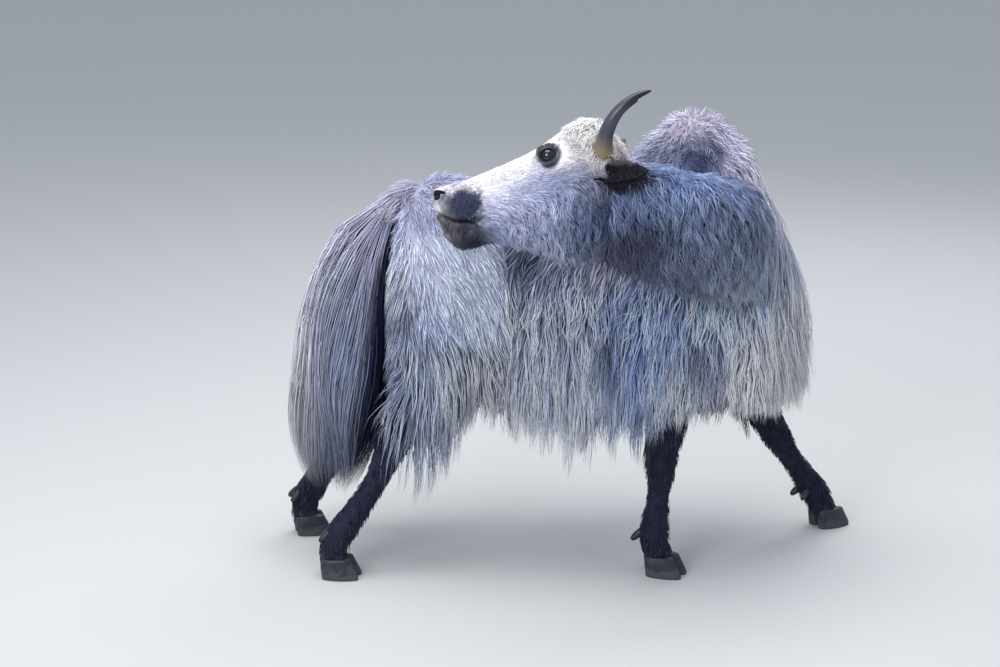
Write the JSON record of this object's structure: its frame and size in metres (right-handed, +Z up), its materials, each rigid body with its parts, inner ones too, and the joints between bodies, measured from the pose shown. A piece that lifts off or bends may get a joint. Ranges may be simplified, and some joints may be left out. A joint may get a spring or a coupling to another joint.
{
  "type": "yak",
  "caption": "Life-size still model of a long-haired yak, standing with its head turned back over its flank, for museum-style display.",
  "frame": {"origin": "middle of the model's footprint box, on the floor that the hooves stand on", "axes": "+Z up; the hindquarters face -Y and the tail hangs at +Y; the animal's right side, over which the head is turned back, is towards -X"},
  "size_m": [0.8763, 1.5828, 1.3538],
  "materials": {
    "coat": "long silver-grey hair",
    "face_coat": "short pale hair, dark at the muzzle",
    "dark_coat": "short charcoal hair",
    "horn": "satin grey-brown horn with a dark tip",
    "eye": "wet black",
    "hoof": "matt dark horn"
  },
  "bodies": {
    "root": {"rump": "coat", "barrel": "coat", "chest": "coat", "neck_lower": "coat", "neck_upper": "coat", "tail_dock": "coat", "tail_switch": "coat", "head": "face_coat", "ear_left": "dark_coat", "ear_right": "dark_coat", "foreleg_left": "dark_coat", "foreleg_right": "dark_coat", "hindleg_left": "dark_coat", "hindleg_right": "dark_coat", "horn_left": "horn", "horn_right": "horn", "eye_left": "eye", "eye_right": "eye", "claw_foreleg_left_inner": "hoof", "claw_foreleg_left_outer": "hoof", "claw_foreleg_right_inner": "hoof", "claw_foreleg_right_outer": "hoof", "claw_hindleg_left_inner": "hoof", "claw_hindleg_left_outer": "hoof", "claw_hindleg_right_inner": "hoof", "claw_hindleg_right_outer": "hoof", "dewclaw_foreleg_left_inner": "hoof", "dewclaw_foreleg_left_outer": "hoof", "dewclaw_foreleg_right_inner": "hoof", "dewclaw_foreleg_right_outer": "hoof", "dewclaw_hindleg_left_inner": "hoof", "dewclaw_hindleg_left_outer": "hoof", "dewclaw_hindleg_right_inner": "hoof", "dewclaw_hindleg_right_outer": "hoof"}
  },
  "joints": []
}
